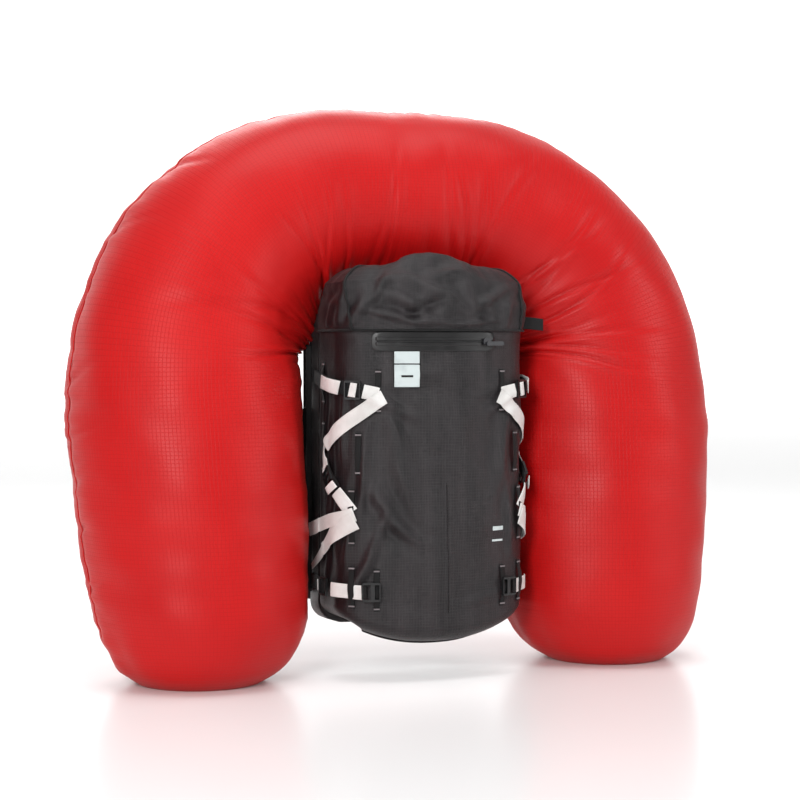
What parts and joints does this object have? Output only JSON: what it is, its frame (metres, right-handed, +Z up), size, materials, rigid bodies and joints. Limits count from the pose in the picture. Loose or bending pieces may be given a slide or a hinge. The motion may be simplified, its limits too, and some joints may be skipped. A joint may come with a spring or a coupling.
{
  "type": "ski backpack",
  "caption": "Ski touring backpack with a deployed avalanche airbag: a slim body with hinged lid and harness, held between the legs of an upside-down U airbag.",
  "frame": {"origin": "on the floor, at the centre of the whole object's footprint box", "axes": "+Z up; +X from the wearer's left side to the right side; the pack's front faces -Y and the wearer stands on the +Y side"},
  "size_m": [1.0059, 0.3703, 0.8377],
  "materials": {
    "airbag_nylon": "satin",
    "pack_fabric": "matte",
    "pack_trim": "matte",
    "black_webbing": "matte",
    "pale_webbing": "matte",
    "pale_thread": "matte",
    "zip_laminate": "matte",
    "reflective": "satin",
    "back_mesh": "matte",
    "harness_pad": "matte",
    "black_plastic": "satin",
    "grey_plastic": "satin",
    "sheet_plastic": "matte",
    "handle_plastic": "satin",
    "cartridge_steel": "satin",
    "valve_metal": "satin",
    "stay_metal": "satin",
    "pin_steel": "satin",
    "valve_rubber": "matte",
    "hose_rubber": "matte",
    "cable_sheath": "satin"
  },
  "bodies": {
    "root": {"airbag": "airbag_nylon", "airbag_duct": "airbag_nylon", "airbag_tabs": "black_webbing", "pack_shell": "pack_fabric", "bottom_panel": "pack_fabric", "airbag_bay": "pack_fabric", "bay_lips": "pack_trim", "lid_riser": "pack_fabric", "zip_tape": "zip_laminate", "reflective_patch": "reflective", "lash_loops": "black_webbing", "loop_bartacks": "pale_thread", "side_strap_left": "pale_webbing", "side_strap_right": "pale_webbing", "base_strap_left": "pale_webbing", "base_strap_right": "pale_webbing", "ladder_locks": "black_plastic", "base_hook_left": "black_plastic", "base_hook_right": "black_plastic", "inflator": "grey_plastic", "release_valve": "valve_metal", "lever_pin": "pin_steel", "gas_hose": "hose_rubber", "trigger_cable": "cable_sheath", "frame_sheet": "sheet_plastic", "frame_stays": "stay_metal", "back_foam": "back_mesh", "haul_loop": "black_webbing", "shoulder_strap_left": "harness_pad", "shoulder_strap_right": "harness_pad", "strap_webbing_left": "black_webbing", "strap_webbing_right": "black_webbing", "trigger_socket": "black_plastic"},
    "lid": {"lid": "pack_fabric", "lid_tail": "black_webbing"},
    "zip": {"zip_slider": "black_plastic", "zip_puller": "black_plastic"},
    "flap": {"inflator_flap": "valve_rubber"},
    "cartridge": {"gas_cartridge": "cartridge_steel"},
    "lever": {"firing_lever": "valve_metal"},
    "striker": {"striker": "pin_steel"},
    "handle": {"trigger_handle": "handle_plastic"},
    "chest_strap": {"chest_slider_left": "black_plastic", "chest_slider_right": "black_plastic", "chest_buckle_socket": "black_plastic", "chest_buckle_plug": "black_plastic", "chest_webbing": "black_webbing"},
    "hip_left": {"hip_wing_left": "harness_pad", "hip_webbing_left": "black_webbing", "hip_buckle_socket": "black_plastic"},
    "hip_right": {"hip_wing_right": "harness_pad", "hip_webbing_right": "black_webbing", "hip_buckle_plug": "black_plastic"}
  },
  "joints": [
    {"name": "lid_hinge", "type": "hinge", "parent": "root", "child": "lid", "pos_m": [0, -0.084, 0.6], "axis": [-1, 0, 0], "range_deg": [0, 70]},
    {"name": "zip_slide", "type": "hinge", "parent": "root", "child": "zip", "pos_m": [0, 0.124, 0.488], "axis": [0, 0, -1], "range_deg": [0, 30]},
    {"name": "flap_hinge", "type": "hinge", "parent": "root", "child": "flap", "pos_m": [0, -0.039, 0.453], "axis": [1, 0, 0], "range_deg": [0, 60]},
    {"name": "cartridge_screw", "type": "hinge", "parent": "root", "child": "cartridge", "pos_m": [0.06, -0.025, 0.35], "axis": [0, 0, 1], "continuous": true},
    {"name": "lever_pivot", "type": "hinge", "parent": "root", "child": "lever", "pos_m": [0.06, -0.025, 0.395], "axis": [-1, 0, 0], "range_deg": [0, 10]},
    {"name": "striker_slide", "type": "slide", "parent": "root", "child": "striker", "axis": [0, 0, -1], "range_m": [0, 0.0025]},
    {"name": "handle_pull", "type": "slide", "parent": "root", "child": "handle", "axis": [0, 0, -1], "range_m": [0, 0.04]},
    {"name": "chest_strap_slide", "type": "slide", "parent": "root", "child": "chest_strap", "axis": [0, 0, 1], "range_m": [-0.03, 0.03]},
    {"name": "hip_left_hinge", "type": "hinge", "parent": "root", "child": "hip_left", "pos_m": [-0.118, 0.0304, 0.14], "axis": [0, 0, 1], "range_deg": [0, 30]},
    {"name": "hip_right_hinge", "type": "hinge", "parent": "root", "child": "hip_right", "pos_m": [0.118, 0.0304, 0.14], "axis": [0, 0, -1], "range_deg": [0, 30]}
  ],
  "couplings": [
    {"joint": "lever_pivot", "follows": "handle_pull", "rad_per_m": 4.3633},
    {"joint": "striker_slide", "follows": "handle_pull", "ratio": 0.0625}
  ]
}
